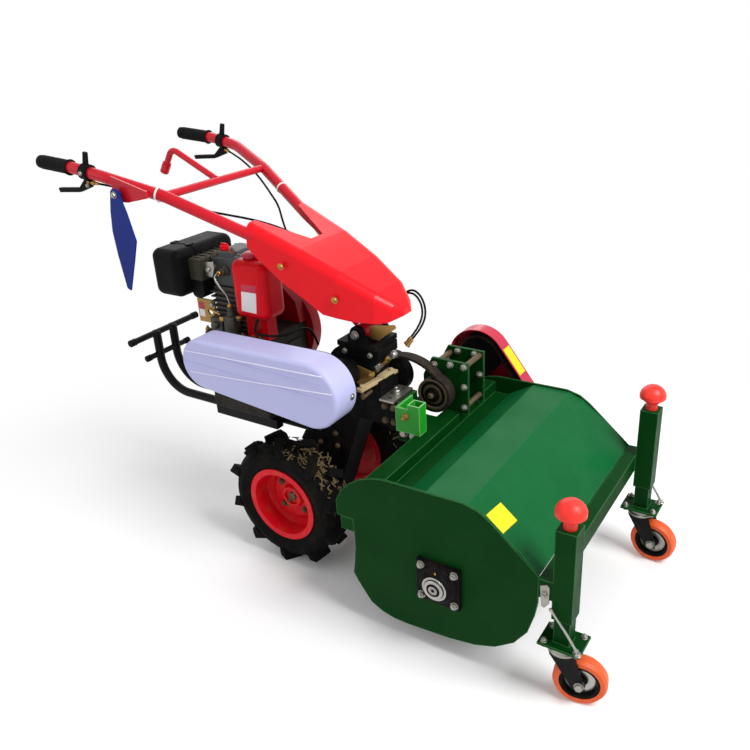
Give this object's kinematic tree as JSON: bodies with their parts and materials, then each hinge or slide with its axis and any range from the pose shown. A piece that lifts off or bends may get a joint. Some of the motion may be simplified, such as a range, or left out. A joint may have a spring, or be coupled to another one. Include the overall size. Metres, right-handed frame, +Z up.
{
  "type": "power weeder",
  "caption": "Walk-behind two-wheel diesel power weeder with a turned handlebar, pushing a belt-driven flail mower on height-adjustable front casters.",
  "frame": {"origin": "on the floor, under the middle of the machine's box", "axes": "+X the way it drives, mower in front; +Y the operator's left; +Z up"},
  "size_m": [1.6943, 0.74, 1.1848],
  "materials": {
    "tyre_rubber": "matt",
    "rim_red": "gloss",
    "plain_steel": "machined",
    "black_iron": "black paint",
    "black_steel": "black paint",
    "engine_alloy": "cast",
    "engine_plate": "yellow zinc",
    "fan_red": "gloss",
    "tank_red": "gloss",
    "filter_black": "moulded",
    "silencer_olive": "dull",
    "cover_lilac": "gloss",
    "hood_red": "gloss",
    "arm_red": "gloss",
    "grip_rubber": "ribbed",
    "mower_green": "gloss",
    "deck_green": "gloss",
    "belt_rubber": "fabric backed",
    "guard_red": "gloss",
    "hitch_zinc": "zinc",
    "knob_red": "gloss",
    "caster_orange": "polyurethane",
    "caster_black": "moulded",
    "lever_blue": "gloss"
  },
  "bodies": {
    "machine": {"air_cleaner": "filter_black", "belt_cover": "cover_lilac", "caster_frame": "mower_green", "cover_back_plate": "black_steel", "cradle": "black_steel", "crankcase": "engine_alloy", "cylinder": "engine_alloy", "cylinder_head": "engine_alloy", "engine_bracket": "engine_plate", "fan_housing": "fan_red", "fuel_tank": "tank_red", "gearbox": "black_iron", "hitch_housing": "black_iron", "hitch_plate": "hitch_zinc", "intake_box": "filter_black", "jackshaft_plates": "mower_green", "leg_knobs": "knob_red", "mower_belts": "belt_rubber", "mower_frame": "mower_green", "rotor_bearings": "black_steel", "rotor_belt_guard": "guard_red", "side_plate_left": "mower_green", "side_plate_right": "mower_green", "silencer": "silencer_olive", "tool_socket": "mower_green", "top_sheet": "deck_green"},
    "wheel_right": {"tyre_right": "tyre_rubber", "rim_right": "rim_red", "axle_right": "plain_steel"},
    "wheel_left": {"tyre_left": "tyre_rubber", "rim_left": "rim_red", "axle_left": "plain_steel"},
    "slide_leg_right": {"leg_right": "mower_green"},
    "slide_leg_left": {"leg_left": "mower_green"},
    "swivel_right": {"fork_right": "black_steel"},
    "swivel_left": {"fork_left": "black_steel"},
    "caster_wheel_right": {"caster_tread_right": "caster_orange", "caster_hub_right": "caster_black"},
    "caster_wheel_left": {"caster_tread_left": "caster_orange", "caster_hub_left": "caster_black"},
    "flail_shaft": {"flail_rotor": "black_steel", "rotor_pulley": "black_steel"},
    "jack_drive": {"jackshaft": "black_steel"},
    "pto_drive": {"pto_pulley": "black_steel"},
    "turntable": {"steering_head": "black_steel", "cable_loop_front": "grip_rubber", "cable_loop_rear": "grip_rubber"},
    "handlebar": {"arm_right": "arm_red", "arm_left": "arm_red", "tilt_sleeve": "arm_red", "cross_tube": "arm_red", "grips": "grip_rubber", "hood": "hood_red", "side_lever": "lever_blue", "shift_lever": "arm_red", "hand_levers": "black_steel", "lever_plate": "arm_red", "cable_arm_left": "grip_rubber", "cable_arm_right": "grip_rubber"}
  },
  "joints": [
    {"name": "wheel_spin_right", "type": "hinge", "parent": "machine", "child": "wheel_right", "pos_m": [-0.1425, -0.177, 0.197], "axis": [0, 1, 0], "continuous": true},
    {"name": "leg_height_right", "type": "slide", "parent": "machine", "child": "slide_leg_right", "axis": [0, 0, 1], "range_m": [-0.05, 0.03]},
    {"name": "caster_swivel_right", "type": "hinge", "parent": "slide_leg_right", "child": "swivel_right", "pos_m": [0.7435, -0.305, 0.16], "axis": [0, 0, 1], "continuous": true},
    {"name": "caster_spin_right", "type": "hinge", "parent": "swivel_right", "child": "caster_wheel_right", "pos_m": [0.78458, -0.29627, 0.0625], "axis": [-0.2079, 0.9781, 0], "continuous": true},
    {"name": "wheel_spin_left", "type": "hinge", "parent": "machine", "child": "wheel_left", "pos_m": [-0.1425, 0.177, 0.197], "axis": [0, 1, 0], "continuous": true},
    {"name": "leg_height_left", "type": "slide", "parent": "machine", "child": "slide_leg_left", "axis": [0, 0, 1], "range_m": [-0.05, 0.03]},
    {"name": "caster_swivel_left", "type": "hinge", "parent": "slide_leg_left", "child": "swivel_left", "pos_m": [0.7435, 0.305, 0.16], "axis": [0, 0, 1], "continuous": true},
    {"name": "caster_spin_left", "type": "hinge", "parent": "swivel_left", "child": "caster_wheel_left", "pos_m": [0.7854, 0.30207, 0.0625], "axis": [0.0698, 0.9976, 0], "continuous": true},
    {"name": "rotor_spin", "type": "hinge", "parent": "machine", "child": "flail_shaft", "pos_m": [0.4375, 0, 0.223], "axis": [0, 1, 0], "continuous": true},
    {"name": "jackshaft_spin", "type": "hinge", "parent": "machine", "child": "jack_drive", "pos_m": [0.2135, 0, 0.511], "axis": [0, 1, 0], "continuous": true},
    {"name": "pto_spin", "type": "hinge", "parent": "machine", "child": "pto_drive", "pos_m": [0.0795, 0.068, 0.545], "axis": [0, 1, 0], "continuous": true},
    {"name": "handlebar_turn", "type": "hinge", "parent": "machine", "child": "turntable", "pos_m": [0.0475, 0, 0.67], "axis": [0, 0, 1], "range_deg": [0, 180]},
    {"name": "handlebar_tilt", "type": "hinge", "parent": "turntable", "child": "handlebar", "pos_m": [0.0475, 0, 0.702], "axis": [0, 1, 0], "range_deg": [0, 20]}
  ],
  "couplings": [
    {"joint": "jackshaft_spin", "follows": "rotor_spin", "ratio": 0.64516},
    {"joint": "pto_spin", "follows": "rotor_spin", "ratio": 0.52066}
  ]
}
